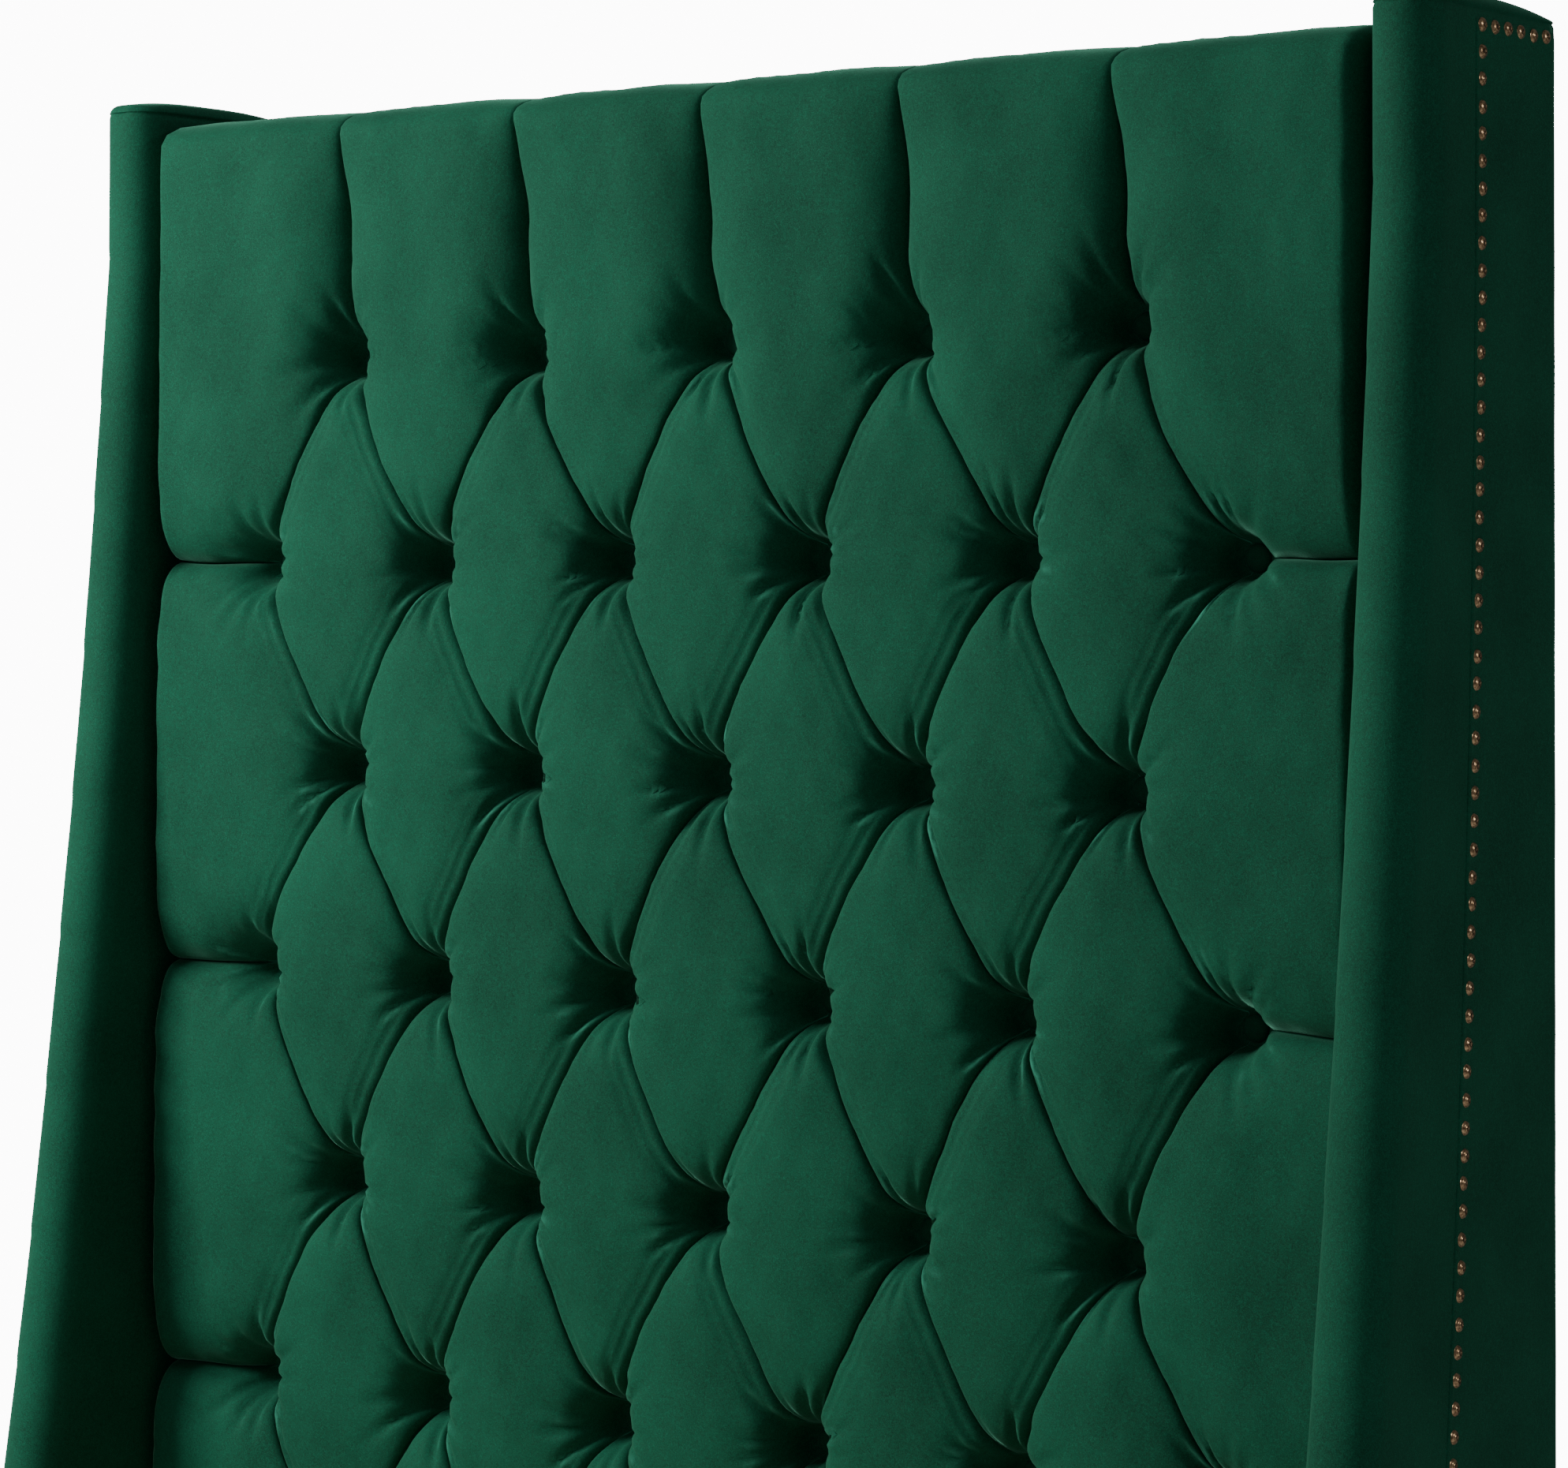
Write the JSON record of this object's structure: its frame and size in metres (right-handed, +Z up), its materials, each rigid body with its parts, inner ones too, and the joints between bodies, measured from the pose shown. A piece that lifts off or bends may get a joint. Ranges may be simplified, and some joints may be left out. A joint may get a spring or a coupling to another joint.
{
  "type": "upholstered headboard bed",
  "caption": "Queen bed with a tall diamond-tufted headboard between padded wings with nail trim, padded side rails and low footboard, slatted base.",
  "frame": {"origin": "on the floor, in the middle of the bed's plan", "axes": "+Z up, +Y towards the headboard, +X to the right of somebody standing at the foot and facing the headboard"},
  "size_m": [1.7496, 2.35, 2.116],
  "materials": {
    "antique_nail": "antique bronze, worn highlights",
    "button_velvet": "deep green velvet pile on a covered button",
    "dark_wood": "espresso stain, satin lacquer",
    "foam": "open cell foam and wadding",
    "frame_wood": "planed softwood, bare",
    "glide_plastic": "black moulded plastic",
    "hardboard": "pressed hardboard, smooth",
    "lining": "black non-woven lining cloth",
    "plywood": "birch plywood, bare",
    "slat_wood": "planed pine slat, rounded edges",
    "twine": "waxed upholstery twine",
    "velvet": "deep green velvet pile",
    "zinc_steel": "zinc plated steel"
  },
  "bodies": {
    "bed_frame": {"bed_brackets": "zinc_steel", "button_ties": "twine", "centre_beam": "frame_wood", "centre_leg_front": "frame_wood", "centre_leg_rear": "frame_wood", "floor_glides": "glide_plastic", "foot_left": "dark_wood", "foot_right": "dark_wood", "footboard_core": "frame_wood", "footboard_cover": "velvet", "footboard_foam": "foam", "frame_bolts": "zinc_steel", "headboard_back_cover": "lining", "headboard_bottom_rail": "frame_wood", "headboard_mid_rails": "frame_wood", "headboard_stile_left": "frame_wood", "headboard_stile_right": "frame_wood", "headboard_top_rail": "frame_wood", "left_rail_core": "frame_wood", "left_rail_cover": "velvet", "left_rail_foam": "foam", "left_slat_ledge": "slat_wood", "left_wing_back_post": "frame_wood", "left_wing_cover": "velvet", "left_wing_cross_rails": "frame_wood", "left_wing_foam": "foam", "left_wing_front_post": "frame_wood", "left_wing_nails": "antique_nail", "left_wing_outer_cover": "velvet", "left_wing_skins": "hardboard", "leg_inserts": "zinc_steel", "right_rail_core": "frame_wood", "right_rail_cover": "velvet", "right_rail_foam": "foam", "right_slat_ledge": "slat_wood", "right_wing_back_post": "frame_wood", "right_wing_cover": "velvet", "right_wing_cross_rails": "frame_wood", "right_wing_foam": "foam", "right_wing_front_post": "frame_wood", "right_wing_nails": "antique_nail", "right_wing_outer_cover": "velvet", "right_wing_skins": "hardboard", "slat_01": "slat_wood", "slat_02": "slat_wood", "slat_03": "slat_wood", "slat_04": "slat_wood", "slat_05": "slat_wood", "slat_06": "slat_wood", "slat_07": "slat_wood", "slat_08": "slat_wood", "slat_09": "slat_wood", "slat_10": "slat_wood", "slat_11": "slat_wood", "tuft_board": "plywood", "tuft_buttons": "button_velvet", "tuft_foam": "foam", "tufted_cover": "velvet"},
    "glide_front_body": {"levelling_glide_front": "zinc_steel"},
    "glide_rear_body": {"levelling_glide_rear": "zinc_steel"}
  },
  "joints": [
    {"name": "front_glide_screw", "type": "slide", "parent": "bed_frame", "child": "glide_front_body", "axis": [0, 0, -1], "range_m": [-0.012, 0.01]},
    {"name": "rear_glide_screw", "type": "slide", "parent": "bed_frame", "child": "glide_rear_body", "axis": [0, 0, -1], "range_m": [-0.012, 0.01]}
  ]
}
